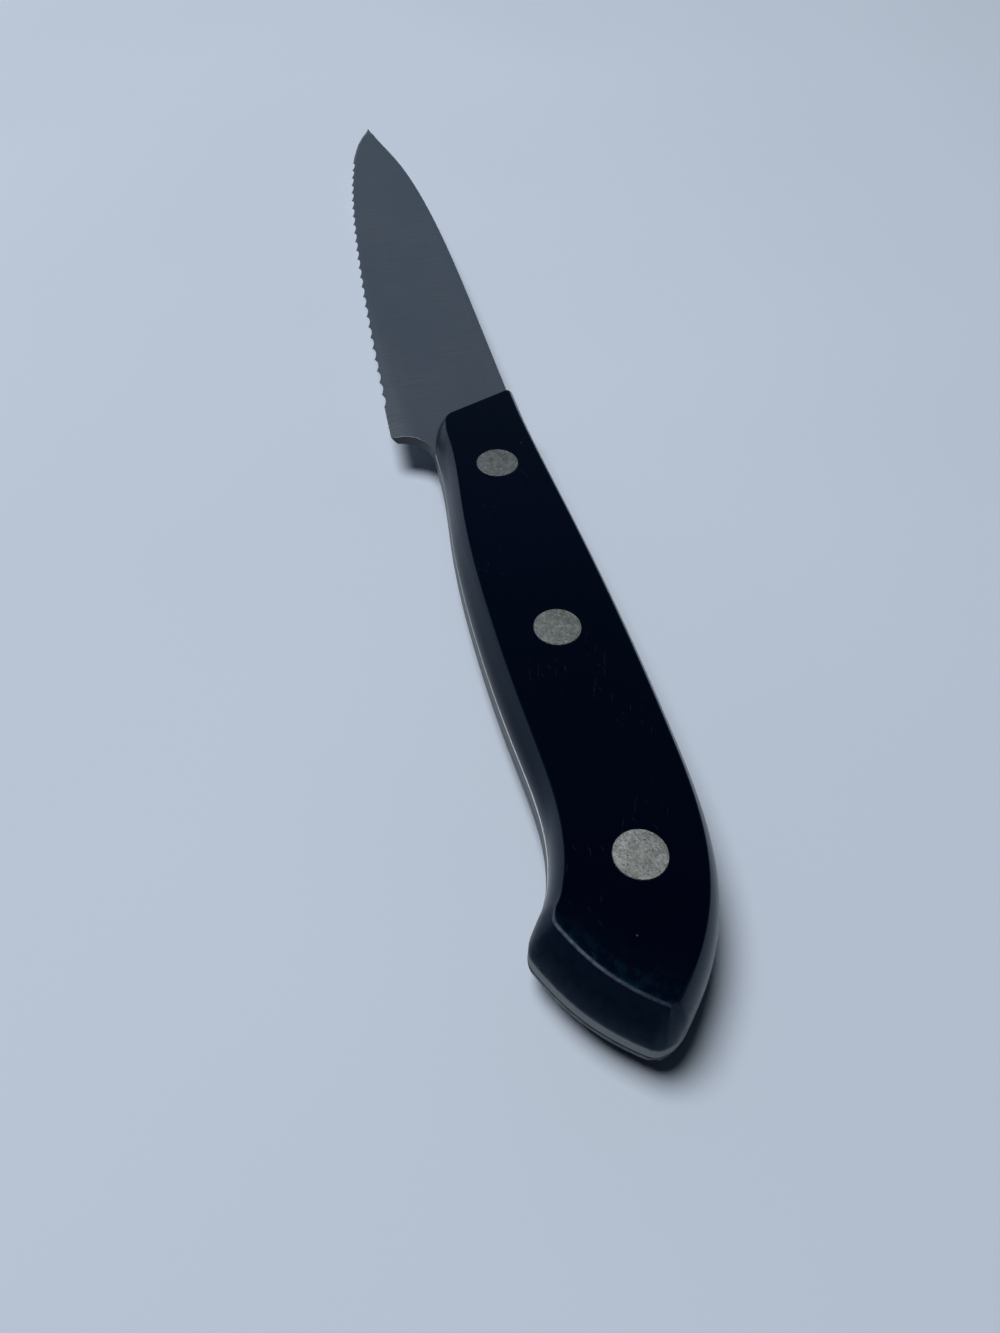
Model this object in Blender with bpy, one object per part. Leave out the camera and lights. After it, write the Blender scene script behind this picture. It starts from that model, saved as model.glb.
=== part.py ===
"""Serrated utility knife: one steel blade with a full tang, two moulded handle scales
and three two-piece rivets that clamp the scales through the tang.

The knife lies flat on its lower scale. While it is modelled, the middle rivet stands at
the origin, +X runs to the tip, +Y to the cutting edge and Z = 0 is the middle of the tang.
All lengths are in metres.
"""

import math
from collections import namedtuple

import bmesh
import bpy
from mathutils import Vector
from mathutils.geometry import interpolate_bezier

# Rivets
rivet_pitch = 0.03765
rivet_head_diameter = 0.0070
rivet_head_height = 0.0018
rivet_tube_diameter = 0.0046
rivet_tube_wall = 0.0007
rivet_tube_floor = 0.0008
rivet_tube_shortfall = 0.0015
rivet_lead_in = 0.0003
rivet_sides = 40

# Clearance between two pieces that seat on each other
seat_gap = 0.0003

# Handle thickness and the slope of its walls
tang_thickness = 0.0022
scale_thickness = 0.0056
wall_flare = 0.0020
hollow_flare = 0.0015
rear_flare = 0.0030
wall_curve = 2.3
wall_steps = 7
edge_radius = 0.0006
edge_steps = 3

# Handle outline, X measured from the middle, front or rear rivet and Y from the rivet line
spine_front_heading = 182.0
crest_behind_middle = 0.0180
crest_depth = 0.01125
butt_low_behind_rear = 0.01945
butt_low_y = 0.0001
butt_low_heading = 134.0
butt_high_behind_rear = 0.02065
butt_high_y = 0.0052
butt_high_heading = 53.5
hook_back_behind_rear = 0.00795
hook_back_y = 0.0153
hook_back_heading = 24.4
hook_front_behind_rear = 0.00275
hook_front_y = 0.0131
hook_front_heading = -38.5
hollow_ahead_of_rear = 0.01115
hollow_y = 0.0094
swell_ahead_of_middle = 0.0070
swell_y = 0.01105
belly_end_ahead_of_front = 0.00635
belly_end_y = 0.00865
belly_end_heading = -2.0
cheek_ahead_of_front = 0.01425
cheek_y = 0.00805
cheek_heading = -17.0
nose_ahead_of_front = 0.01714
nose_y = 0.00539
nose_heading = -68.3
nose_corner = 0.0006

# Blade, X measured from the front rivet
spine_depth = 0.00835
spine_at_choil_drop = 0.0001
choil_ahead_of_front = 0.01195
choil_radius = 0.0066
choil_bite = 0.00005
heel_height = 0.0153
heel_radius = 0.0009
blade_length = 0.1308
straight_spine_length = 0.0388
tip_y = -0.0001
spine_tip_heading = 6.4
spine_pulls = (0.80, 0.206)
edge_heel_heading = -1.6
edge_tip_heading = -15.8
edge_pulls = (0.93, 0.057)
blade_curve_points = 120

# Cross-section of the blade
tip_thickness = 0.0011
face_taper = 0.12
edge_lift = 0.0003
roll_at_heel = 0.0050
roll_at_tip = 0.0009
roll_fade = 0.0250
grind_angle = 22.0
grind_at_heel = 0.0012
spine_ease = 0.00025
point_fineness = 0.35
point_floor = 0.00015

# Serration
plain_heel_length = 0.0098
plain_tip_length = 0.0196
tooth_pitch = 0.0039
tooth_depth = 0.0005
scallop_steps = 6
tip_steps = 9
tip_step = 0.24

handle_half = tang_thickness / 2 + seat_gap + scale_thickness
front_rivet_x = rivet_pitch
rear_rivet_x = -rivet_pitch
rivet_places = (front_rivet_x, 0.0, rear_rivet_x)
choil_x = front_rivet_x + choil_ahead_of_front
choil_y = belly_end_y + choil_radius - choil_bite
heel_x = choil_x + choil_radius
tip_x = heel_x + blade_length
first_tooth_x = heel_x + plain_heel_length
scallop_count = round((blade_length - plain_heel_length - plain_tip_length) / tooth_pitch)

Knot = namedtuple("Knot", "x y heading before after flare samples")


def handle_knots():
    """Knots of the line that the tang and both scales share, from the spine above the
    choil back round the butt and forward along the belly. Heading is the direction of
    travel, before and after are the pulls of the curve as shares of the chord, flare is
    how far the scale's wall leans in, and samples divide the stretch that follows."""
    return [
        Knot(choil_x, -spine_depth - spine_at_choil_drop, spine_front_heading,
             0.33, 0.25, wall_flare, 14),
        Knot(-crest_behind_middle, -crest_depth, 180.0, 0.46, 0.39, wall_flare, 12),
        Knot(rear_rivet_x - butt_low_behind_rear, butt_low_y, butt_low_heading,
             0.39, 0.30, wall_flare, 7),
        Knot(rear_rivet_x - butt_high_behind_rear, butt_high_y, butt_high_heading,
             0.40, 0.40, rear_flare, 6),
        Knot(rear_rivet_x - hook_back_behind_rear, hook_back_y, hook_back_heading,
             0.35, 0.37, rear_flare, 7),
        Knot(rear_rivet_x - hook_front_behind_rear, hook_front_y, hook_front_heading,
             0.28, 0.22, wall_flare, 8),
        Knot(rear_rivet_x + hollow_ahead_of_rear, hollow_y, 0.0, 0.45, 0.24, hollow_flare, 10),
        Knot(swell_ahead_of_middle, swell_y, 0.0, 0.58, 0.55, wall_flare, 9),
        Knot(front_rivet_x + belly_end_ahead_of_front, belly_end_y, belly_end_heading,
             0.30, 0.33, wall_flare, 4),
    ]


def direction(heading):
    """Unit vector in the plane of the tang, its heading in degrees from +X towards +Y."""
    angle = math.radians(heading)
    return Vector((math.cos(angle), math.sin(angle), 0.0))


def inset_knot(knot, depth):
    """The knot moved inwards: the handle lies on the right of the direction of travel."""
    place = Vector((knot.x, knot.y, 0.0)) + direction(knot.heading - 90.0) * depth
    return knot._replace(x=place.x, y=place.y)


def scale_knots(lean, inset):
    """The shared line and the scale's slanted nose, moved inwards by lean times the flare
    of the wall plus inset. The nose meets the spine in a sharp corner, which stays on the
    crossing of the two lines however far they are moved."""
    cheek = Knot(front_rivet_x + cheek_ahead_of_front, cheek_y, cheek_heading,
                 0.33, 0.36, wall_flare, 6)
    nose = Knot(front_rivet_x + nose_ahead_of_front, nose_y, nose_heading,
                0.36, 0.33, wall_flare, 2)
    knots = [inset_knot(knot, knot.flare * lean + inset) for knot in handle_knots() + [cheek, nose]]
    slope = direction(nose_heading)
    spine_y = -spine_depth + wall_flare * lean + inset
    nose_length = (knots[-1].y - spine_y) / -slope.y
    corner = Vector((knots[-1].x, knots[-1].y, 0.0)) + slope * nose_length
    before_corner = corner - slope * nose_corner
    after_corner = corner - Vector((nose_corner, 0.0, 0.0))
    knots.append(Knot(before_corner.x, before_corner.y, nose_heading, 0.33, 0.40, wall_flare, 4))
    knots.append(Knot(after_corner.x, after_corner.y, 180.0, 0.40, 0.33, wall_flare, 3))
    return knots


def curve_through(knots, closed):
    """Smooth line through the knots: one cubic curve for each stretch between two."""
    points = []
    count = len(knots)
    for index in range(count if closed else count - 1):
        leaving, arriving = knots[index], knots[(index + 1) % count]
        start = Vector((leaving.x, leaving.y, 0.0))
        end = Vector((arriving.x, arriving.y, 0.0))
        chord = (end - start).length
        first_pull = start + direction(leaving.heading) * chord * leaving.after
        last_pull = end - direction(arriving.heading) * chord * arriving.before
        points.extend(interpolate_bezier(start, first_pull, last_pull, end, leaving.samples + 1)[:-1])
    if not closed:
        points.append(Vector((knots[-1].x, knots[-1].y, 0.0)))
    return points


def height_at(line, x):
    """Y of a line that runs towards +X, at the given X."""
    for start, end in zip(line, line[1:]):
        if start.x <= x <= end.x and end.x > start.x:
            return start.y + (end.y - start.y) * (x - start.x) / (end.x - start.x)
    return line[0].y if x < line[0].x else line[-1].y


def blade_curve(start, start_heading, end_heading, pulls):
    """Smooth line from a point on the blade to its tip, pulls as shares of the chord."""
    tip = Vector((tip_x, tip_y, 0.0))
    chord = (tip - start).length
    first_pull = start + direction(start_heading) * chord * pulls[0]
    last_pull = tip - direction(end_heading) * chord * pulls[1]
    return interpolate_bezier(start, first_pull, last_pull, tip, blade_curve_points)


def scallop_sag(x):
    """Depth of the wheel-ground scallops below the line through the tooth points."""
    position = (x - first_tooth_x) / tooth_pitch
    if position <= 0.0 or position >= scallop_count:
        return 0.0
    half = tooth_pitch / 2
    wheel = (half ** 2 + tooth_depth ** 2) / (2 * tooth_depth)
    offset = (position % 1.0 - 0.5) * tooth_pitch
    return math.sqrt(wheel ** 2 - offset ** 2) - math.sqrt(wheel ** 2 - half ** 2)


def blade_section(x, spine_line, edge_line):
    """Section of the blade at one X, as (y, z) pairs from the spine over the upper face to
    the cutting edge and back along the lower face. The upper face rolls over to the edge.
    The lower face is ground up to it, one scallop after another."""
    spine = height_at(spine_line, x)
    tooth_line = height_at(edge_line, x)
    height = tooth_line - spine
    past_heel = max(x - heel_x, 0.0)
    slab = tang_thickness + (tip_thickness - tang_thickness) * past_heel / blade_length
    half = min(slab, point_floor + point_fineness * height) / 2
    flat = half * (1.0 - face_taper)
    lift = edge_lift * half / (tang_thickness / 2)
    roll = roll_at_tip + (roll_at_heel - roll_at_tip) * math.exp(-past_heel / roll_fade)
    roll = min(roll, 0.45 * height)
    full_grind = (flat + lift) / math.tan(math.radians(grind_angle))
    grind = grind_at_heel + (full_grind - grind_at_heel) * min(past_heel / plain_heel_length, 1.0)
    grind = min(grind, 0.5 * height)
    ease = min(spine_ease, half / 2) * min(past_heel / roll_fade, 1.0)
    rounding = max(heel_radius - past_heel, 0.0)
    corner = heel_radius - math.sqrt(heel_radius ** 2 - rounding ** 2)
    edge = tooth_line - min(scallop_sag(x), 0.3 * height) - corner
    roll_start = tooth_line - roll
    middle = (spine + roll_start) / 2
    upper_middle = (half + flat) / 2
    section = [(spine, half - ease), (spine + ease, half), (middle, upper_middle),
               (roll_start, flat)]
    for share in (0.4, 0.7, 0.9):
        drop = (flat - lift) * share ** 2
        section.append((roll_start + (edge - roll_start) * share, flat - drop))
    section.append((edge, lift))
    section.append((edge - grind, -flat))
    section.append((spine + ease, -half))
    section.append((spine, -half + ease))
    return section


def tang_section(spine, belly):
    """The same count of points round the plain rectangle of the tang."""
    half = tang_thickness / 2
    stops = (0.0, 0.0, 0.35, 0.6, 0.75, 0.88, 0.95, 1.0)
    section = [(spine + (belly - spine) * stop, half) for stop in stops]
    section.append((belly, -half))
    section.append((spine, -half))
    section.append((spine, -half))
    return section


def blade_stations():
    """X of each section: the heel, every scallop in equal steps, and the run to the tip."""
    stations = [choil_x + choil_bite, (choil_x + heel_x) / 2, heel_x]
    stations += [heel_x + heel_radius * share for share in (0.12, 0.4, 1.0)]
    stations += [heel_x + plain_heel_length * share for share in (0.4, 0.7)]
    for step in range(scallop_count * scallop_steps + 1):
        stations.append(first_tooth_x + tooth_pitch * step / scallop_steps)
    for step in range(tip_steps):
        stations.append(stations[-1] + (tip_x - stations[-1]) * tip_step)
    return stations


def new_object(name, mesh_builder, material, smooth_angle):
    """Object whose mesh is the builder's closed surface with its faces pointing out."""
    work = bmesh.new()
    mesh_builder(work)
    bmesh.ops.remove_doubles(work, verts=work.verts, dist=1e-7)
    bmesh.ops.dissolve_degenerate(work, edges=work.edges, dist=1e-7)
    bmesh.ops.recalc_face_normals(work, faces=work.faces)
    mesh = bpy.data.meshes.new(name)
    work.to_mesh(mesh)
    work.free()
    mesh.shade_smooth()
    mesh.set_sharp_from_angle(angle=math.radians(smooth_angle))
    piece = bpy.data.objects.new(name, mesh)
    bpy.context.scene.collection.objects.link(piece)
    if material is not None:
        mesh.materials.append(material)
    return piece


def ring_faces(work, first, second):
    """Quads between two closed rings of as many vertices."""
    count = len(first)
    for index in range(count):
        follower = (index + 1) % count
        work.faces.new((first[index], first[follower], second[follower], second[index]))


def blade_lines():
    """The spine and the line through the tooth points, both from the choil to the tip."""
    spine_line = [Vector((choil_x, -spine_depth - spine_at_choil_drop, 0.0)),
                  Vector((heel_x, -spine_depth, 0.0))]
    bend = Vector((heel_x + straight_spine_length, -spine_depth, 0.0))
    spine_line += blade_curve(bend, 0.0, spine_tip_heading, spine_pulls)
    heel = Vector((heel_x, heel_height, 0.0))
    edge_line = [Vector((choil_x, heel_height, 0.0))]
    edge_line += blade_curve(heel, edge_heel_heading, edge_tip_heading, edge_pulls)
    return spine_line, edge_line


def blade_mesh(work):
    """Tang and blade in one. The tang is a plate between two copies of its outline. Its
    front end is the first of the sections that the blade is lofted through, so the two
    outlines close on that section's upper and lower side."""
    outline = curve_through(handle_knots(), closed=False)
    outline.append(Vector((choil_x, belly_end_y, 0.0)))
    half = tang_thickness / 2
    upper = [work.verts.new((point.x, point.y, half)) for point in outline]
    lower = [work.verts.new((point.x, point.y, -half)) for point in outline]
    for index in range(len(outline) - 1):
        work.faces.new((upper[index], upper[index + 1], lower[index + 1], lower[index]))

    front_end = tang_section(outline[0].y, outline[-1].y)
    rings = [[work.verts.new((choil_x, y, z)) for y, z in front_end]]
    spine_line, edge_line = blade_lines()
    for x in blade_stations():
        section = blade_section(x, spine_line, edge_line)
        rings.append([work.verts.new((x, y, z)) for y, z in section])
    for first, second in zip(rings, rings[1:]):
        ring_faces(work, first, second)
    tip = work.verts.new((tip_x, tip_y, 0.0))
    last = rings[-1]
    for index, vertex in enumerate(last):
        work.faces.new((vertex, last[(index + 1) % len(last)], tip))

    upper_side = [vertex for vertex in rings[0][1:] if vertex.co.z > 0.0]
    lower_side = [vertex for vertex in rings[0][:-1] if vertex.co.z < 0.0]
    work.faces.new(upper[1:-1] + upper_side[::-1])
    work.faces.new(lower[1:-1] + lower_side)


def scale_mesh(side):
    """Builder of one scale: rings from its flat seat on the tang up a wall that leans in
    ever more, round a small edge and onto the flat outer face. Side is +1 or -1."""
    def build(work):
        seat = tang_thickness / 2 + seat_gap
        lean_angle = math.atan(wall_curve * wall_flare / scale_thickness)
        edge_rise = edge_radius * (1.0 - math.sin(lean_angle))
        wall_height = scale_thickness - edge_rise
        rings = []
        for step in range(wall_steps + 1):
            share = step / wall_steps
            rings.append((seat + wall_height * share, share ** wall_curve, 0.0))
        for step in range(1, edge_steps + 1):
            angle = lean_angle + (math.pi / 2 - lean_angle) * step / edge_steps
            rise = edge_radius * (math.sin(angle) - math.sin(lean_angle))
            inset = edge_radius * (math.cos(lean_angle) - math.cos(angle))
            rings.append((seat + wall_height + rise, 1.0, inset))
        levels = []
        for height, lean, inset in rings:
            outline = curve_through(scale_knots(lean, inset), closed=True)
            levels.append([work.verts.new((point.x, point.y, side * height)) for point in outline])
        for first, second in zip(levels, levels[1:]):
            ring_faces(work, first, second)
        work.faces.new(levels[0])
        work.faces.new(levels[-1])
    return build


def turned(profile, places):
    """Builder of a turned piece: the profile is (radius, z) pairs from axis to axis, and
    one copy stands at each of the places along X."""
    def build(work):
        for place in places:
            rings = []
            for radius, z in profile:
                if radius == 0.0:
                    rings.append([work.verts.new((place, 0.0, z))])
                    continue
                ring = []
                for index in range(rivet_sides):
                    angle = 2 * math.pi * index / rivet_sides
                    ring.append(work.verts.new((place + radius * math.cos(angle),
                                                radius * math.sin(angle), z)))
                rings.append(ring)
            for first, second in zip(rings, rings[1:]):
                if len(first) == 1:
                    for index in range(rivet_sides):
                        work.faces.new((first[0], second[index], second[(index + 1) % rivet_sides]))
                elif len(second) == 1:
                    for index in range(rivet_sides):
                        work.faces.new((first[(index + 1) % rivet_sides], first[index], second[0]))
                else:
                    ring_faces(work, first, second)
    return build


def male_profile():
    """Rivet half with the solid pin that is driven into the tube."""
    head = rivet_head_diameter / 2
    pin = rivet_tube_diameter / 2 - rivet_tube_wall - seat_gap
    under_head = handle_half - rivet_head_height
    pin_end = -under_head + rivet_tube_floor + seat_gap
    return [(0.0, handle_half), (head, handle_half), (head, under_head), (pin, under_head),
            (pin, pin_end + rivet_lead_in), (pin - rivet_lead_in, pin_end), (0.0, pin_end)]


def female_profile():
    """Rivet half with the tube that passes through the tang."""
    head = rivet_head_diameter / 2
    tube = rivet_tube_diameter / 2
    bore = tube - rivet_tube_wall
    under_head = handle_half - rivet_head_height
    tube_end = under_head - rivet_tube_shortfall
    floor = -under_head + rivet_tube_floor
    return [(0.0, -handle_half), (head, -handle_half), (head, -under_head), (tube, -under_head),
            (tube, tube_end - rivet_lead_in), (tube - rivet_lead_in, tube_end), (bore, tube_end),
            (bore, floor), (0.0, floor)]


def seat_profile(side):
    """Stepped hole through one scale: the tube's bore, and a recess for the rivet's head."""
    bore = rivet_tube_diameter / 2 + seat_gap
    recess = rivet_head_diameter / 2 + seat_gap
    inner = side * tang_thickness / 4
    step = side * (handle_half - rivet_head_height - seat_gap)
    outer = side * (handle_half + seat_gap)
    return [(0.0, inner), (bore, inner), (bore, step), (recess, step), (recess, outer), (0.0, outer)]


def cutter(name, profile, places):
    """Guide that a Boolean takes away from a piece. It is not part of the knife."""
    guide = new_object(name, turned(profile, places), None, 40.0)
    guide.hide_render = True
    guide.display_type = "WIRE"
    return guide


def cut(piece, guide):
    """Live Boolean difference."""
    modifier = piece.modifiers.new(guide.name, "BOOLEAN")
    modifier.operation = "DIFFERENCE"
    modifier.solver = "EXACT"
    modifier.object = guide


def finish(name, colour, roughness, metallic):
    """Principled material with the given base colour, roughness and metallic value."""
    material = bpy.data.materials.new(name)
    material.use_nodes = True
    shader = material.node_tree.nodes["Principled BSDF"]
    shader.inputs["Base Color"].default_value = (*colour, 1.0)
    shader.inputs["Roughness"].default_value = roughness
    shader.inputs["Metallic"].default_value = metallic
    material.diffuse_color = (*colour, 1.0)
    return material


def clear_scene():
    """Remove whatever the scene holds."""
    for old in list(bpy.data.objects):
        bpy.data.objects.remove(old, do_unlink=True)


def place_on_table(pieces):
    """Parent every piece to one empty, and move it so that the middle of the knife's box
    stands on the origin with the lower scale on Z = 0."""
    bpy.context.view_layer.update()
    graph = bpy.context.evaluated_depsgraph_get()
    corners = []
    for piece in pieces:
        shown = piece.evaluated_get(graph)
        corners += [Vector(corner) for corner in shown.bound_box]
    low = Vector([min(corner[axis] for corner in corners) for axis in range(3)])
    high = Vector([max(corner[axis] for corner in corners) for axis in range(3)])
    stand = bpy.data.objects.new("knife_frame", None)
    bpy.context.scene.collection.objects.link(stand)
    stand.location = (-(low.x + high.x) / 2, -(low.y + high.y) / 2, -low.z)
    for piece in list(bpy.data.objects):
        if piece is not stand:
            piece.parent = stand


def cylinder_profile(radius):
    """Straight cutter that is longer than the knife is thick."""
    return [(0.0, handle_half), (radius, handle_half), (radius, -handle_half), (0.0, -handle_half)]


def make_blade_and_tang(material):
    """The steel piece, with the round notch at its heel and the bores for the tubes."""
    blade = new_object("blade_and_tang", blade_mesh, material, 25.0)
    choil_guide = cutter("choil_guide", cylinder_profile(choil_radius), (choil_x,))
    choil_guide.location.y = choil_y
    cut(blade, choil_guide)
    bore = rivet_tube_diameter / 2 + seat_gap
    cut(blade, cutter("tang_bore_guide", cylinder_profile(bore), rivet_places))
    return blade


def make_scale(name, side, material):
    """One scale with its three stepped rivet seats."""
    scale = new_object(name, scale_mesh(side), material, 35.0)
    cut(scale, cutter(name + "_seat_guide", seat_profile(side), rivet_places))
    return scale


def make_rivet(place_name, place, material):
    """The two halves of one rivet: the pin from above, the tube from below."""
    male = new_object("rivet_male_" + place_name, turned(male_profile(), (place,)), material, 35.0)
    female = new_object("rivet_female_" + place_name, turned(female_profile(), (place,)), material, 35.0)
    return [male, female]


clear_scene()
blade_steel = finish("satin_blade_steel", (0.42, 0.43, 0.45), 0.34, 1.0)
handle_plastic = finish("black_moulded_plastic", (0.012, 0.014, 0.020), 0.38, 0.0)
rivet_metal = finish("dull_rivet_metal", (0.50, 0.50, 0.49), 0.50, 1.0)

pieces = [make_blade_and_tang(blade_steel)]
pieces.append(make_scale("upper_scale", 1, handle_plastic))
pieces.append(make_scale("lower_scale", -1, handle_plastic))
for place_name, place in zip(("front", "middle", "rear"), rivet_places):
    pieces += make_rivet(place_name, place, rivet_metal)
place_on_table(pieces)
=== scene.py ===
import math
from collections import namedtuple

import bmesh
import bpy
import numpy as np
from mathutils import Matrix, Vector


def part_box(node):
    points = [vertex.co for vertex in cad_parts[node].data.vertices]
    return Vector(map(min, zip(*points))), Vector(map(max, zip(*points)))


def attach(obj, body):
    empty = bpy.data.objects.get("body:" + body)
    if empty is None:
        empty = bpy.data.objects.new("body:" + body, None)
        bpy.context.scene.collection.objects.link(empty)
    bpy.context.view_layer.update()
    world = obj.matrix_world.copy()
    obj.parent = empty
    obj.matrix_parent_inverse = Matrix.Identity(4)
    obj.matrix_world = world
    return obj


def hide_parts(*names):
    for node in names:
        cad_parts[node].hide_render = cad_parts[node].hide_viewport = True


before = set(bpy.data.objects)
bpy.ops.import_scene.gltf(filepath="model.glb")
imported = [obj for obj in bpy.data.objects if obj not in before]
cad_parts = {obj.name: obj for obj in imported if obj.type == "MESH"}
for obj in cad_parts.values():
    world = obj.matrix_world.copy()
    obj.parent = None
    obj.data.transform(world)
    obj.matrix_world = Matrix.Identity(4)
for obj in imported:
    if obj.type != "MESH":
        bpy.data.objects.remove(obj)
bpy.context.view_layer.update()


# Blade and tang
# One stamped strip of stainless steel, satin ground on both faces, whose rear half is the
# tang between the scales. The cutting edge is rolled over on the upper face and ground into
# scallops from the lower face.

mm = 0.001
middle_low, middle_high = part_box("rivet_male_middle")
steel_low, steel_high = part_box("blade_and_tang")
handle_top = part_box("upper_scale")[1].z
handle_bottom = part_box("lower_scale")[0].z
knife_origin = np.array([(middle_low.x + middle_high.x) / 2,
                         (middle_low.y + middle_high.y) / 2,
                         (handle_top + handle_bottom) / 2])

# Sizes are millimetres from the middle rivet and the middle of the tang.
handle_half = (handle_top - handle_bottom) / 2 / mm
tang_half = (steel_high.z - steel_low.z) / 2 / mm
rivet_pitch = (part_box("rivet_male_front")[0].x - middle_low.x) / mm
butt_x = (steel_low.x - knife_origin[0]) / mm
tip_x = (steel_high.x - knife_origin[0]) / mm
spine_y = -8.35
choil_x, choil_y = rivet_pitch + 11.95, 15.20
choil_radius = 6.6

# The handle's outline, from the choil along the spine to the butt, round the hook and back
# along the belly. Headings are degrees, and the pulls before and after are shares of a chord.
Knot = namedtuple("Knot", "x y heading before after")
handle_knots = [
    Knot(choil_x, spine_y - 0.1, 182.0, 0.33, 0.25),
    Knot(-18.0, -11.25, 180.0, 0.46, 0.39),
    Knot(-rivet_pitch - 19.45, 0.1, 134.0, 0.39, 0.285),
    Knot(-rivet_pitch - 21.15, 3.57, 91.7, 0.342, 0.332),
    Knot(-rivet_pitch - 20.65, 5.2, 53.5, 0.369, 0.40),
    Knot(-rivet_pitch - 7.95, 15.3, 24.4, 0.35, 0.37),
    Knot(-rivet_pitch - 2.75, 13.25, -38.5, 0.28, 0.22),
    Knot(-rivet_pitch + 11.15, 9.6, 0.0, 0.45, 0.24),
    Knot(7.0, 11.05, 0.0, 0.58, 0.55),
    Knot(rivet_pitch + 6.35, 8.65, -2.0, 0.30, 0.33),
]
outline_spacing = 0.8


def direction(heading):
    """Unit vector whose heading is in degrees from +X towards +Y, or a stack of them."""
    angle = np.radians(heading)
    return np.stack([np.cos(angle), np.sin(angle)], axis=-1)


def cubic(start, start_pull, end_pull, end, count):
    """Bezier cubic of two ends and two pulls, at count even steps of t, without its end:
    (1-t)^3 start + 3 t (1-t)^2 start_pull + 3 t^2 (1-t) end_pull + t^3 end."""
    t = (np.arange(count) / count)[:, None]
    s = 1.0 - t
    corners = [point[..., None, :] for point in (start, start_pull, end_pull, end)]
    return (s ** 3 * corners[0] + 3 * t * s * s * corners[1]
            + 3 * t * t * s * corners[2] + t ** 3 * corners[3])


def line_through(places, knots, spacing, closed):
    """Smooth line through the places of the knots, which may be a stack of lines: one cubic
    for each stretch, which leaves and arrives along the headings of its two knots, with
    pulls that are shares of the chord. Every line of a stack gets as many points."""
    stretches = []
    for here in range(len(knots) if closed else len(knots) - 1):
        there = (here + 1) % len(knots)
        start, end = places[..., here, :], places[..., there, :]
        chord = end - start
        reach = np.linalg.norm(chord[..., :2], axis=-1)[..., None]
        leave, arrive = np.zeros_like(chord), np.zeros_like(chord)
        leave[..., :2] = direction(knots[here].heading) * reach * knots[here].after
        arrive[..., :2] = direction(knots[there].heading) * reach * knots[there].before
        steps = max(4, round(math.dist(knots[here][:2], knots[there][:2]) / spacing))
        stretches.append(cubic(start, start + leave, end - arrive, end, steps))
    if not closed:
        stretches.append(places[..., -1:, :])
    return np.concatenate(stretches, axis=-2)


def in_frame(points):
    """Knife millimetres to metres in the frame."""
    return knife_origin + np.asarray(points) * mm


def closed_surface(name, rings):
    """Mesh object of quads between closed rings, with a flat face on the first and the
    last. Rings is an array of rings by points by three, in knife millimetres."""
    count, around = rings.shape[:2]
    index = np.arange(count * around).reshape(count, around)
    here, above = index[:-1], index[1:]
    quads = np.stack([here, np.roll(here, -1, 1), np.roll(above, -1, 1), above], axis=-1)
    faces = quads.reshape(-1, 4).tolist() + [index[0][::-1].tolist(), index[-1].tolist()]
    mesh = bpy.data.meshes.new(name)
    mesh.from_pydata(in_frame(rings).reshape(-1, 3).tolist(), [], faces)
    piece = bpy.data.objects.new(name, mesh)
    bpy.context.scene.collection.objects.link(piece)
    return piece


merge_reach = 0.0005


def settle(piece, sharp_angle):
    """Merge the doubles, turn every face outwards and smooth all edges below the angle."""
    work = bmesh.new()
    work.from_mesh(piece.data)
    bmesh.ops.remove_doubles(work, verts=work.verts, dist=merge_reach * mm)
    bmesh.ops.recalc_face_normals(work, faces=work.faces)
    work.to_mesh(piece.data)
    work.free()
    piece.data.shade_smooth()
    piece.data.set_sharp_from_angle(angle=math.radians(sharp_angle))


# The blade's outline: a straight spine that drops to the tip, and a plain heel.
heel_x, heel_y = choil_x + choil_radius, 15.3
heel_corner = 0.9
straight_spine = 38.8
tip_y = -0.1
blade_length = tip_x - heel_x
curve_steps = 400

# The scallops, in the run between the plain heel and the plain tip.
plain_heel = 9.8
tooth_pitch, tooth_depth = 3.9, 0.5
scallop_count = 26
first_tooth = heel_x + plain_heel

# Half the thickness at the tip, and the most of it where the blade is low, near its point.
tip_half = 0.55
point_half, point_rate = 0.075, 0.175

# The faces' taper to the edge, and the run over which the tang becomes the blade.
face_taper, taper_reach = 0.12, 0.8
tang_blend = 3.0
least_height = 0.01

# The upper face rolls down to the edge, in a wide strip at the heel and a narrow one ahead.
edge_lift, edge_width = 0.30, 0.06
roll_width, heel_roll, roll_fade, roll_limit = 0.9, 4.1, 25.0, 0.45

# The lower face is ground up to the cutting line.
heel_grind, grind_angle, grind_limit = 1.2, 22.0, 0.5

# Rounding of the edges, the most of it as a share of a thin blade, and how far past the
# heel the notch's rounding goes.
steel_edge, choil_edge = 0.13, 0.09
edge_limit = 0.4
past_corner, far_off = 2.0, 9.0

# Sections of the mesh along the steel, and their gaps to the butt, the notch and the tip.
notch_steps, plain_steps, scallop_steps, tip_steps = 26, 12, 14, 46
butt_gap, notch_gap, tip_gap = 0.004, 0.05, 0.02

# Points of a section, its least width, and the limits of its edges and of its ground facet
# as shares of the width.
edge_points, face_points, facet_points, back_points = 7, 26, 9, 14
least_span, edge_span = 0.02, 0.3
facet_from_spine, facet_from_side = 0.35, 0.06
face_bunching = 1.6

knot_places = np.array([[knot.x, knot.y] for knot in handle_knots])
outline = line_through(knot_places, handle_knots, outline_spacing, closed=False)
butt = int(np.argmin(outline[:, 0]))
back_line, belly_line = outline[butt::-1], outline[butt:]


def single_curve(start, end, leave, arrive):
    """One cubic from start to end. Leave and arrive each hold a heading in degrees and a
    pull, which is a share of the chord."""
    chord = np.linalg.norm(end - start)
    return cubic(start, start + direction(leave[0]) * chord * leave[1],
                 end - direction(arrive[0]) * chord * arrive[1], end, curve_steps)


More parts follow.
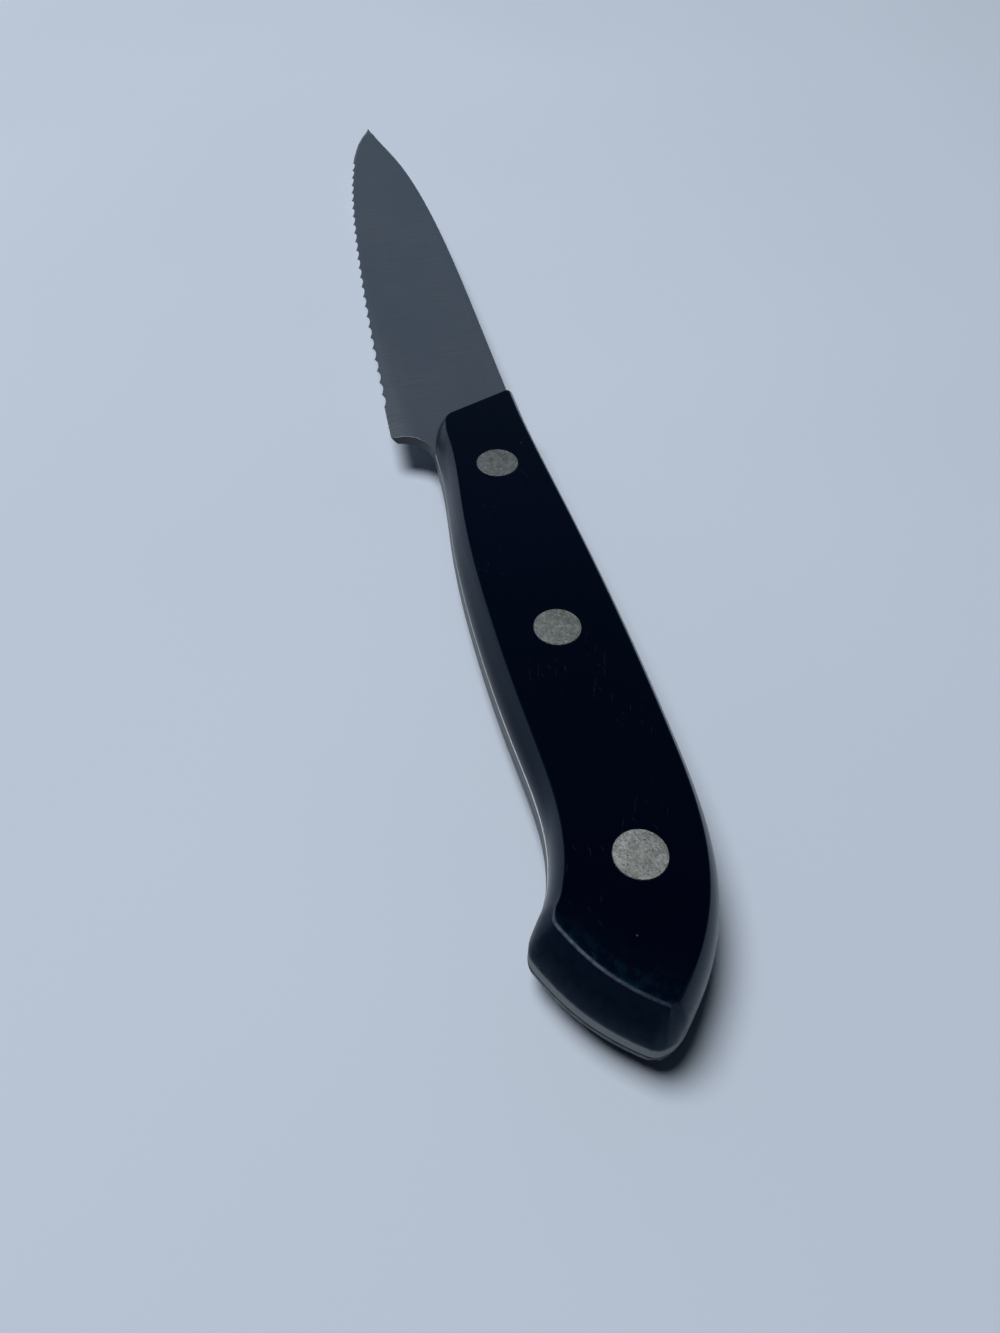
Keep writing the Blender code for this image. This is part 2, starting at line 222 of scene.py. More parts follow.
tip = np.array([tip_x, tip_y])
bend = np.array([heel_x + straight_spine, spine_y])
heel = np.array([heel_x, heel_y])
spine_curve = single_curve(bend, tip, (0.0, 0.80), (6.4, 0.206))
edge_curve = single_curve(heel, tip, (-1.6, 0.93), (-15.8, 0.057))
spine_line = np.concatenate([back_line, [[heel_x, spine_y]], spine_curve, [tip]])
tooth_line = np.concatenate([[[choil_x, heel_y]], edge_curve, [tip]])


def smooth_share(value):
    """Share from 0 to 1 with a flat start and end: 3 s^2 - 2 s^3."""
    share = np.clip(value, 0.0, 1.0)
    return share * share * (3.0 - 2.0 * share)


def scallop_sag(x):
    """Depth of the ground hollows below the line of the points: a circle through two
    points a pitch apart whose middle lies one tooth depth lower."""
    half = tooth_pitch / 2
    wheel = (half ** 2 + tooth_depth ** 2) / (2 * tooth_depth)
    position = (x - first_tooth) / tooth_pitch
    offset = (position % 1.0 - 0.5) * tooth_pitch
    sag = np.sqrt(wheel ** 2 - offset ** 2) - math.sqrt(wheel ** 2 - half ** 2)
    return np.where((position > 0.0) & (position < scallop_count), sag, 0.0)


def side_lines(x):
    """Spine, line of the tooth points, cutting line and outer side of the steel at each x.
    Over the tang the outer side is the belly, along the notch it is a circle, and the heel
    has a round corner."""
    spine = np.interp(x, spine_line[:, 0], spine_line[:, 1])
    teeth = np.interp(x, tooth_line[:, 0], tooth_line[:, 1])
    cutting = teeth - scallop_sag(x)
    rounding = np.clip(heel_corner - (x - heel_x), 0.0, heel_corner)
    corner = heel_corner - np.sqrt(heel_corner ** 2 - rounding ** 2)
    notch = choil_y - np.sqrt(np.clip(choil_radius ** 2 - (x - choil_x) ** 2, 0.0, None))
    belly = np.interp(x, belly_line[:, 0], belly_line[:, 1])
    side = np.where(x >= heel_x, cutting - corner, np.minimum(notch, cutting - corner))
    return spine, teeth, cutting, np.where(x <= choil_x, belly, side)


def quarter_drop(distance, radius):
    """How far a rounded edge lies below the face at a distance from its side."""
    inside = np.clip(radius - distance, 0.0, radius)
    return radius - np.sqrt(radius ** 2 - inside ** 2)


def steel_faces(x, y, lines, slopes):
    """Height of the upper and the lower face at x, y, and the width of the grind. A face
    lies at half the thickness, less the taper to the tip and to the edge, the roll of the
    upper face towards the tooth points with the square of the share, the straight grind of
    the lower face up to the cutting line, and the rounding along the sides."""
    spine, teeth, cutting, side = lines
    spine_slope, side_slope = slopes
    past_heel = np.clip(x - heel_x, 0.0, None)
    height = np.maximum(teeth - spine, least_height)
    thick = tang_half + (tip_half - tang_half) * past_heel / blade_length
    thick = np.minimum(thick, point_half + point_rate * height)
    blade = smooth_share((x - choil_x) / tang_blend)
    flat = thick * (1.0 - blade * face_taper * np.clip((y - spine) / (taper_reach * height), 0.0, 1.0))

    roll = np.minimum(roll_width + heel_roll * np.exp(-past_heel / roll_fade), roll_limit * height)
    lift = edge_lift * thick / tang_half
    upper = flat - blade * (flat - lift) * np.clip((y - teeth + roll) / roll, 0.0, 1.0) ** 2

    at_edge = flat - (flat - lift) * np.clip((cutting - teeth + roll) / roll, 0.0, 1.0) ** 2
    full_grind = (flat + lift) / math.tan(math.radians(grind_angle))
    grind = heel_grind + (full_grind - heel_grind) * np.clip(past_heel / plain_heel, 0.0, 1.0)
    grind = np.minimum(grind, grind_limit * height)
    ground = at_edge - edge_width - (cutting - y) * (flat + lift) / grind
    lower = np.where(x > choil_x, np.maximum(-flat, ground), -flat)

    spine_drop = quarter_drop((y - spine) * spine_slope, np.minimum(steel_edge, edge_limit * thick))
    off_notch = np.hypot(x - choil_x, y - choil_y) - choil_radius
    off_heel = np.where(x < heel_x + past_corner, off_notch, far_off)
    off_side = np.where(x <= choil_x, (side - y) * side_slope, off_heel)
    upper_drop = quarter_drop(off_side, np.where(x <= choil_x, steel_edge, choil_edge))
    lower_drop = quarter_drop(off_side, steel_edge)
    return upper - spine_drop - upper_drop, lower + spine_drop + lower_drop, grind


def steel_stations():
    """X of every section: those of the tang's outline, the notch in even turns, the heel's
    corner, equal steps through the scallops, and steps that shorten towards the tip."""
    tang = np.unique(np.round(np.concatenate([back_line[:, 0], belly_line[:, 0]]), 2))
    tang = tang[tang < choil_x - notch_gap]
    turns = np.linspace(0.0, math.pi / 2, notch_steps)
    notch = choil_x + choil_radius * np.sin(turns)
    corner = heel_x + heel_corner * (1.0 - np.cos(turns[1::2]))
    plain = np.linspace(heel_x + heel_corner, first_tooth, plain_steps)[1:-1]
    step = tooth_pitch / scallop_steps
    scallops = first_tooth + step * np.arange(scallop_count * scallop_steps + 1)
    shortening = np.sin(np.linspace(0.0, math.pi / 2, tip_steps))[1:-1]
    plain_tip = scallops[-1] + (tip_x - scallops[-1]) * shortening
    return np.concatenate([[butt_x + butt_gap], tang, notch, corner, plain, scallops, plain_tip,
                           [tip_x - tip_gap]])


def line_slope(x, line):
    """Cosine of the angle between a side line and the X axis, for each x."""
    step = 0.05
    after = np.interp(x + step, line[:, 0], line[:, 1])
    before = np.interp(x - step, line[:, 0], line[:, 1])
    return 2 * step / np.hypot(2 * step, after - before)


def steel_rings():
    """Closed sections from butt to tip. Each runs from the spine over the upper face to the
    side and back along the lower face, its points close together where the face turns."""
    x = steel_stations()
    spine, teeth, cutting, side = side_lines(x)
    span = np.maximum(side - spine, least_span)[:, None]
    slopes = line_slope(x, back_line), line_slope(x, belly_line)
    over_notch = (x > choil_x) & (x < heel_x)
    reach = np.sqrt(np.clip((choil_radius + choil_edge) ** 2 - (x - choil_x) ** 2, 0.0, None))
    blade_reach = np.where(over_notch, reach - (choil_y - side), choil_edge)
    side_reach = np.where(x > choil_x, blade_reach, steel_edge / slopes[1])
    bunched = 1.0 - np.cos(np.linspace(0.0, math.pi / 2, edge_points))
    from_spine = np.minimum(steel_edge / slopes[0][:, None], edge_span * span) * bunched
    from_side = np.minimum(side_reach[:, None], edge_span * span) * bunched
    shares = 1.0 - (1.0 - np.linspace(0.0, 1.0, face_points)[1:-1]) ** face_bunching
    inner = from_spine[:, -1:] + (span - from_spine[:, -1:] - from_side[:, -1:]) * shares
    across = np.concatenate([from_spine, inner, span - from_side[:, ::-1]], axis=1)

    lines = [line[:, None] for line in (spine, teeth, cutting, side)]
    columns = [slope[:, None] for slope in slopes]
    y_upper = lines[0] + across
    z_upper, _, grind = steel_faces(x[:, None], y_upper, lines, columns)

    grind_line = np.clip(lines[2] - grind[:, -1:], lines[0] + facet_from_spine * span,
                         lines[3] - facet_from_side * span)
    facet = lines[3] + (grind_line - lines[3]) * np.linspace(0.0, 1.0, facet_points)[2:]
    back_end = lines[0] + from_spine[:, -1:]
    back = grind_line + (back_end - grind_line) * np.linspace(0.0, 1.0, back_points)[1:]
    inside = np.concatenate([lines[3] - from_side[:, 1:4], facet, back,
                             lines[0] + from_spine[:, -2::-1]], axis=1)
    y_lower = np.concatenate([lines[3], np.sort(inside, axis=1)[:, ::-1]], axis=1)
    _, z_lower, _ = steel_faces(x[:, None], y_lower, lines, columns)
    y = np.concatenate([y_upper, y_lower], axis=1)
    z = np.concatenate([z_upper, z_lower], axis=1)
    return np.stack([np.broadcast_to(x[:, None], y.shape), y, z], axis=-1)


def node(tree, kind, inputs=None, **settings):
    """Shader node of one kind. Settings are its properties. Inputs are named or numbered
    sockets, each with a plain value or with the output that feeds it."""
    made = tree.nodes.new("ShaderNode" + kind)
    for name, value in settings.items():
        setattr(made, name, value)
    for key, value in (inputs or {}).items():
        if isinstance(value, bpy.types.NodeSocket):
            tree.links.new(value, made.inputs[key])
        else:
            made.inputs[key].default_value = value
    return made


def maths(tree, operation, *values, clamp=False):
    """Output of a Math node on one, two or three values."""
    sockets = dict(enumerate(values))
    return node(tree, "Math", sockets, operation=operation, use_clamp=clamp).outputs[0]


def stretched(tree, place, scales):
    """Object coordinates multiplied by one scale for each axis."""
    return node(tree, "VectorMath", {0: place, 1: scales}, operation="MULTIPLY").outputs[0]


def share_along(tree, vector, way):
    """How far a vector reaches along a way: their dot product."""
    product = node(tree, "VectorMath", {0: vector, 1: way}, operation="DOT_PRODUCT")
    return product.outputs["Value"]


def axes_of(tree, vector):
    """The three outputs that hold a vector's X, Y and Z."""
    return node(tree, "SeparateXYZ", {0: vector}).outputs


def between(tree, value, low, high, to_low=0.0, to_high=1.0):
    """Value carried from one range to another and held at its ends."""
    sockets = {0: value, 1: low, 2: high, 3: to_low, 4: to_high}
    return node(tree, "MapRange", sockets).outputs[0]


def noise(tree, place, scale, detail=2.0, roughness=0.5):
    """Soft noise from 0 to 1 at a scale per unit of the place."""
    sockets = {"Vector": place, "Scale": scale, "Detail": detail, "Roughness": roughness}
    return node(tree, "TexNoise", sockets).outputs[0]


def effect_group(name, sockets):
    """New node group that takes a place and numbers, and puts out one mask."""
    group = bpy.data.node_groups.new(name, "ShaderNodeTree")
    group.interface.new_socket("Place", in_out="INPUT", socket_type="NodeSocketVector")
    for label, value in sockets.items():
        socket = group.interface.new_socket(label, in_out="INPUT", socket_type="NodeSocketFloat")
        socket.default_value = value
    group.interface.new_socket("Mask", in_out="OUTPUT", socket_type="NodeSocketFloat")
    given = group.nodes.new("NodeGroupInput").outputs
    result = group.nodes.new("NodeGroupOutput").inputs
    return group, given, result


def use_effect(tree, group, place, **values):
    """Mask of an effect group placed in a material with its own values."""
    placed = node(tree, "Group", node_tree=group)
    tree.links.new(place, placed.inputs["Place"])
    for label, value in values.items():
        placed.inputs[label].default_value = value
    return placed.outputs["Mask"]


def scratches_group():
    """Straight hair scratches. The place is turned by Heading and cut into rows of Spacing
    metres, which drift a little, and each row into lengths of Length metres. A random Share of
    the lengths holds one scratch of Width metres that thins out to its ends."""
    group, given, result = effect_group("hair_scratches", {
        "Heading": 0.0, "Spacing": 0.001, "Length": 0.01, "Width": 0.00005, "Share": 0.2})
    turned_place = node(group, "VectorRotate", {"Vector": given["Place"], "Angle": given["Heading"]},
                        rotation_type="Z_AXIS").outputs[0]
    axes = axes_of(group, turned_place)
    drift = noise(group, turned_place, 90.0, 0.0)
    sideways = maths(group, "ADD", axes[1], maths(group, "MULTIPLY", axes[2], 0.7))
    bent = maths(group, "ADD", sideways, maths(group, "MULTIPLY", drift, 0.002))
    row_place = maths(group, "DIVIDE", bent, given["Spacing"])
    row = maths(group, "FLOOR", row_place)
    shift = node(group, "TexWhiteNoise", {"W": row}, noise_dimensions="1D").outputs["Value"]
    lengths = maths(group, "DIVIDE", axes[0], given["Length"])
    along = maths(group, "ADD", lengths, maths(group, "MULTIPLY", shift, 9.0))
    cell = node(group, "CombineXYZ", {0: row, 1: maths(group, "FLOOR", along)}).outputs[0]
    chance = node(group, "TexWhiteNoise", {"Vector": cell}, noise_dimensions="2D").outputs["Value"]
    held = maths(group, "LESS_THAN", chance, given["Share"])
    off_row = maths(group, "ABSOLUTE", maths(group, "SUBTRACT", maths(group, "FRACT", row_place), 0.5))
    off_line = maths(group, "DIVIDE", maths(group, "MULTIPLY", off_row, given["Spacing"]), given["Width"])
    line = maths(group, "SUBTRACT", 1.0, off_line, clamp=True)
    off_middle = maths(group, "ABSOLUTE", maths(group, "SUBTRACT", maths(group, "FRACT", along), 0.5))
    thinning = maths(group, "SUBTRACT", 1.0, maths(group, "MULTIPLY", off_middle, 2.0), clamp=True)
    group.links.new(maths(group, "MULTIPLY", maths(group, "MULTIPLY", line, thinning), held), result["Mask"])
    return group


def specks_group():
    """Round specks: every cell of a Voronoi pattern may hold one, Share of them do, and a
    speck's size varies with how deep its centre lies under the surface."""
    group, given, result = effect_group("specks", {"Spacing": 0.001, "Share": 0.1, "Size": 0.1})
    per_metre = maths(group, "DIVIDE", 1.0, given["Spacing"])
    sized = node(group, "VectorMath", {0: given["Place"], "Scale": per_metre}, operation="SCALE").outputs[0]
    cells = node(group, "TexVoronoi", {"Vector": sized, "Scale": 1.0})
    chance = node(group, "SeparateColor", {0: cells.outputs["Color"]}).outputs[0]
    held = maths(group, "LESS_THAN", chance, given["Share"])
    near = maths(group, "SUBTRACT", 1.0, maths(group, "DIVIDE", cells.outputs["Distance"], given["Size"]))
    soft = maths(group, "MULTIPLY", near, 2.5, clamp=True)
    group.links.new(maths(group, "MULTIPLY", soft, held), result["Mask"])
    return group


def new_finish(name, **sockets):
    """Material with a Principled shader, its even values set on the sockets themselves."""
    material = bpy.data.materials.new(name)
    material.use_nodes = True
    shader = material.node_tree.nodes["Principled BSDF"]
    for label, value in sockets.items():
        shader.inputs[label.replace("_", " ")].default_value = value
    place = node(material.node_tree, "TexCoord").outputs["Object"]
    return material, material.node_tree, shader, place


def mixed(tree, share, first, second):
    """Colour that goes from the first to the second with the share. A plain colour is
    three numbers, and an output of a node is taken as it is."""
    colours = [value if isinstance(value, bpy.types.NodeSocket) else (*value, 1.0)
               for value in (first, second)]
    blend = node(tree, "Mix", {0: share, 6: colours[0], 7: colours[1]}, data_type="RGBA")
    return blend.outputs[2]


def bumped(tree, height, distance, **sockets):
    """Normal of a surface raised by height times the distance in metres."""
    return node(tree, "Bump", {"Height": height, "Distance": distance, **sockets}).outputs[0]


hair_scratches = scratches_group()
specks = specks_group()


def facing(tree, way):
    """How far the face looks along a unit vector, from -1 to 1."""
    return share_along(tree, node(tree, "NewGeometry").outputs["Normal"], way)


def facing_up(tree, low, high):
    """Mask that grows from 0 to 1 as the face turns from upright to level, both ways up."""
    return between(tree, maths(tree, "ABSOLUTE", facing(tree, (0.0, 0.0, 1.0))), low, high)


def steel_finish():
    """Satin steel: grinding lines across the blade, a slow change of sheen where use and water have dulled
    it, and hair scratches along and across it. The narrow sides are darker and duller, and dullest along the
    tang. In the notch they are darkest: a painted shade, as if the notch lay in shadow."""
    dark_line, pale_line = (0.44, 0.46, 0.495), (0.51, 0.53, 0.565)
    smear_colour, scratch_colour = (0.37, 0.39, 0.42), (0.66, 0.67, 0.68)
    side_colour, notch_shade_colour = (0.215, 0.22, 0.225), (0.055, 0.06, 0.065)
    lines_per_metre, smears_per_metre = (7000.0, 110.0, 110.0), (25.0, 60.0, 60.0)
    notch_middle = in_frame([choil_x, choil_y, 0.0]).tolist()
    notch_shade_full, notch_shade_end = 0.0070, 0.0078
    belt_fade = 0.001

    material, tree, shader, place = new_finish("satin_blade_steel", Metallic=1.0)
    lines = noise(tree, stretched(tree, place, lines_per_metre), 1.0, 3.0, 0.6)
    smears = noise(tree, stretched(tree, place, smears_per_metre), 1.0, 3.0, 0.55)
    along = use_effect(tree, hair_scratches, place, Heading=0.10, Spacing=0.0021, Length=0.024,
                       Width=0.00004, Share=0.22)
    slanted = use_effect(tree, hair_scratches, place, Heading=-0.7, Spacing=0.0032, Length=0.011,
                         Width=0.00003, Share=0.14)
    marks = maths(tree, "MAXIMUM", along, slanted)
    ground = mixed(tree, lines, dark_line, pale_line)
    smeared = mixed(tree, between(tree, smears, 0.40, 0.75, 0.0, 0.30), ground, smear_colour)
    marked = mixed(tree, marks, smeared, scratch_colour)
    level = facing_up(tree, 0.5, 0.9)
    from_notch = node(tree, "VectorMath", {0: place, 1: notch_middle}, operation="DISTANCE").outputs["Value"]
    # Painted shade: the sides near the notch's middle are darkened as if in shadow.
    painted_notch_shade = between(tree, from_notch, notch_shade_full, notch_shade_end, 1.0, 0.0)
    side_steel = mixed(tree, painted_notch_shade, side_colour, notch_shade_colour)
    tree.links.new(mixed(tree, level, side_steel, marked), shader.inputs["Base Color"])

    ground_sheen = between(tree, lines, 0.3, 0.7, 0.21, 0.26)
    sheen = maths(tree, "ADD", ground_sheen, between(tree, smears, 0.40, 0.7, 0.0, 0.05))
    lengthwise = axes_of(tree, place)[0]
    belted = between(tree, lengthwise, notch_middle[0] - belt_fade, notch_middle[0], 0.24, 0.0)
    sides = maths(tree, "MULTIPLY_ADD", maths(tree, "SUBTRACT", 1.0, level), 0.16, sheen)
    tree.links.new(maths(tree, "ADD", sides, belted), shader.inputs["Roughness"])
    tree.links.new(bumped(tree, lines, 0.0000015), shader.inputs["Normal"])
    return material


steel_piece = closed_surface("steel_blade", steel_rings())
settle(steel_piece, sharp_angle=17.0)
steel_piece.data.materials.append(steel_finish())
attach(steel_piece, "root")
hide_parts("blade_and_tang")


# Scales
# Two moulded black plastic scales, mirror images, with a flat outer face and walls that lean
# in. Each is laid on one side of the tang, and the three rivets hold it through stepped holes.

# A wall leans in by its flare, with the height's share to the power bow, and its edge is
# rounded with the radius edge. The step is how far the tang stands proud of the upper scale.
Wall = namedtuple("Wall", "flare bow edge step")
spine_wall = Wall(1.55, 2.3, 0.45, 0.0)
round_wall = Wall(1.9, 2.3, 0.45, 0.0)
crease_wall = Wall(2.45, 1.2, 0.85, 0.0)
rear_wall = Wall(2.9, 1.2, 0.85, 0.0)
hook_wall = Wall(2.0, 2.5, 0.25, 0.12)
hollow_wall = Wall(1.5, 2.1, 0.25, 0.18)
belly_wall = Wall(2.0, 2.0, 0.25, 0.14)
knot_walls = [spine_wall, spine_wall, round_wall, crease_wall, rear_wall,
              rear_wall, hook_wall, hollow_wall, belly_wall, belly_wall]

# The bow of the rear wall and the share of the step, for each scale.
upper_shape = (rear_wall.bow, 1.0)
lower_shape = (2.0, 0.0)

# The slanted nose ahead of the outline's knots. At the butt's crease the heading splits
# into one of arrival and one of leaving, the latter within the crease's share of the height.
cheek = Knot(rivet_pitch + 14.25, 8.05, -17.0, 0.33, 0.36)
nose = Knot(rivet_pitch + 17.14, 5.39, -68.3, 0.36, 0.33)
nose_corner = 0.6
crease = 3
crease_heading, crease_arrival, crease_leaving = 72.0, 106.0, 55.0
crease_share = 0.07
nose_after = 0.40
spine_before, spine_after = 0.40, 0.33

foot_edge = 0.12
fit = 0.02
scale_foot, scale_top = tang_half + fit, handle_half - fit
face_lap = 0.25
foot_levels, wall_levels, edge_levels = 3, 22, 7
wall_bunching = 1.25
wall_spacing = 0.45

head_radius, head_height = 3.5, 1.8
tube_radius, tube_wall, tube_floor = 2.3, 0.7, 0.8
hole_room = 0.03
round_sides = 96
rivet_places = {"front": rivet_pitch, "middle": 0.0, "rear": -rivet_pitch}


def corner_knots(places, depth):
    """Places just before and after the sharp corner where the slanted nose, which runs
    through the given places, would meet the spine line moved inwards by the depth."""
    slope = direction(nose.heading)
    spine = spine_y + depth
    corner = places + slope * ((places[..., 1] - spine) / -slope[1])[..., None]
    return corner - slope * nose_corner, corner - np.array([nose_corner, 0.0])


def wall_levels_of(flare, bow, edge):
    """Rise over the foot, depth inwards and share of the wall's height, at each level and
    knot: a quarter round at the foot, the wall with depth = flare share^bow, an arc of the
    edge's radius from the wall's lean to level, and a short lap over the flat face."""
    thickness = scale_top - scale_foot
    lean = np.arctan(bow * flare / thickness)
    wall = thickness - edge * (1.0 - np.sin(lean))
    every_knot = np.ones_like(wall)
    foot_turn = np.linspace(0.0, math.pi / 2, foot_levels + 1)[:-1, None]
    share = 1.0 - (1.0 - np.linspace(0.0, 1.0, wall_levels)[:, None]) ** wall_bunching
    edge_share = np.linspace(0.0, 1.0, edge_levels + 1)[1:, None]
    edge_turn = lean + (math.pi / 2 - lean) * edge_share
    edge_rise = wall + edge * (np.sin(edge_turn) - np.sin(lean))
    edge_depth = flare + edge * (np.cos(lean) - np.cos(edge_turn))
    rises = np.concatenate([foot_edge * (1.0 - np.cos(foot_turn)) * every_knot,
                            foot_edge + (wall - foot_edge) * share, edge_rise, edge_rise[-1:]])
    depths = np.concatenate([foot_edge * (1.0 - np.sin(foot_turn)) * every_knot,
                             flare * share ** bow, edge_depth, edge_depth[-1:] + face_lap])
    heights = np.concatenate([np.zeros(foot_levels), share[:, 0], np.ones(edge_levels + 1)])
    return rises, depths, heights


def scale_rings(rear_bow, set_back):
    """The scale as one smooth line for each level, through the outline's knots moved inwards
    by the level's depth, at right angles to their headings. Rear walls take the given bow.
    Set back is the share of each wall's step by which the foot lies inside the tang, and it
    fades to nothing at the flat face. The knot of the crease is taken twice, to arrive and
    to leave, and its two headings part with the height, so the rear wall meets the spine
    wall in a crease."""
    knots = handle_knots[:crease + 1] + handle_knots[crease:] + [cheek, nose]
    walls = knot_walls[:crease + 1] + knot_walls[crease:] + [belly_wall, belly_wall]
    flare, bow, edge, step = np.array(walls).T
    bow = np.where(edge == rear_wall.edge, rear_bow, bow)
    rises, depths, heights = wall_levels_of(flare, bow, edge)
    depths += set_back * step * (1.0 - depths / depths[-1])

    headings = np.array([knot.heading for knot in knots])
    headings[crease:crease + 2] = crease_heading
    inward = direction(headings - 90.0)
    flat = np.array([[knot.x, knot.y] for knot in knots]) + inward * depths[..., None]

    round_heading = knots[crease].heading
    parting = 1.0 - np.exp(-heights / crease_share)
    arrival = round_heading + (crease_arrival - round_heading) * heights
    leaving = round_heading + (crease_leaving - round_heading) * parting
    knots[crease] = knots[crease]._replace(heading=arrival)
    knots[crease + 1] = knots[crease + 1]._replace(heading=leaving)

    before, after = corner_knots(flat[:, -1], depths[:, 0])
    knots.append(nose._replace(x=before[0, 0], y=before[0, 1], after=nose_after))
    knots.append(handle_knots[0]._replace(x=after[0, 0], y=after[0, 1], heading=180.0,
                                          before=spine_before, after=spine_after))
    flat = np.concatenate([flat, before[:, None], after[:, None]], axis=1)
    rises = np.concatenate([rises, rises[:, :1], rises[:, :1]], axis=1)
    places = np.concatenate([flat, scale_foot + rises[..., None]], axis=-1)
    return line_through(places, knots, wall_spacing, closed=True)


def turned_rings(profile, place):
    """Circles round the rivet's axis: for each pair of radius and height in the profile,
    place + radius (cos a, sin a) at that height, for even steps of a."""
    radius, height = np.array(profile).T
    angle = 2 * math.pi * np.arange(round_sides) / round_sides
    x = place + radius[:, None] * np.cos(angle)
    y = radius[:, None] * np.sin(angle)
    return np.stack([x, y, np.broadcast_to(height[:, None], x.shape)], axis=-1)


def cut_holes(piece, side):
    """Cut the three stepped holes: a bore for the tube and a recess for the head. Each
    drill starts inside the tang and ends past the flat face."""
    bore, recess = tube_radius + hole_room, head_radius + hole_room
    start, step, end = 0.5, handle_half - head_height - fit, handle_half + 1.0
    profile = [(bore, start), (bore, step), (recess, step), (recess, end)]
    drills = []
    for name, place in rivet_places.items():
        rings = turned_rings(profile, place) * np.array([1.0, 1.0, side])
        drills.append(closed_surface("drill_" + name, rings))
        settle(drills[-1], sharp_angle=30.0)
        cut = piece.modifiers.new("hole_" + name, "BOOLEAN")
        cut.operation = "DIFFERENCE"
        cut.solver = "EXACT"
        cut.object = drills[-1]
    graph = bpy.context.evaluated_depsgraph_get()
    drilled = bpy.data.meshes.new_from_object(piece.evaluated_get(graph))
    piece.modifiers.clear()
    piece.data = drilled
    for drill in drills:
        bpy.data.objects.remove(drill, do_unlink=True)


# Wear at the butt, and a painted highlight on its ridge. Starts and ends are metres in the frame: of the
# ridge and the haze along the butt's way, of the dull wall in height, and of the pale ridge's fading along
# +Y.
rear_way = (-0.576, 0.817, 0.0)
butt_way = (-0.707, 0.707, 0.0)
ridge_start, ridge_full = 0.0790, 0.0815
haze_start, haze_full = 0.0805, 0.0850
dull_start, dull_full = 0.0080, 0.0115
scuff_and_highlight_corner, scuff_and_highlight_hook = 0.0015, 0.0085


def ridge_wear_and_highlight(tree, place, rearward):
    """Masks where the flat face ends near the butt: the rounded edges are rubbed dull, and the ridge over
    the rear wall is pale, partly a scuff and partly a painted highlight, less so towards the spine."""
    rounded = maths(tree, "SUBTRACT", facing_up(tree, 0.58, 0.72), facing_up(tree, 0.965, 0.995))
    to_butt = share_along(tree, place, butt_way)
    rubbed = maths(tree, "MULTIPLY", rounded, between(tree, to_butt, ridge_start, ridge_full))
    ridge = maths(tree, "MULTIPLY", between(tree, rearward, 0.10, 0.28),
                  between(tree, rearward, 0.50, 0.66, 1.0, 0.0))
    # The pale ridge fades towards the spine as the highlight does: painted highlight as well as scuff.
    fading = between(tree, axes_of(tree, place)[1], scuff_and_highlight_corner, scuff_and_highlight_hook, 0.30, 1.0)
    scuff_and_highlight = maths(tree, "MULTIPLY", maths(tree, "MULTIPLY", ridge, rubbed), fading)
    torn = between(tree, noise(tree, place, 1500.0, 3.0), 0.35, 0.65, 0.5, 1.0)
    return rubbed, maths(tree, "MULTIPLY", scuff_and_highlight, torn)


def butt_dulling(tree, place, rearward):
    """Added roughness at the butt: a patchy haze from grease over the last of the handle,
    and a duller upper part of the rear wall."""
    to_butt = share_along(tree, place, butt_way)
    greasy = between(tree, noise(tree, place, 900.0, 3.0), 0.42, 0.62, 0.25, 1.0)
    haze = maths(tree, "MULTIPLY", between(tree, to_butt, haze_start, haze_full, 0.0, 0.18), greasy)
    high = between(tree, axes_of(tree, place)[2], dull_start, dull_full, 0.0, 0.5)
    dull = maths(tree, "MULTIPLY", between(tree, rearward, 0.70, 0.85), high)
    return maths(tree, "ADD", haze, dull)


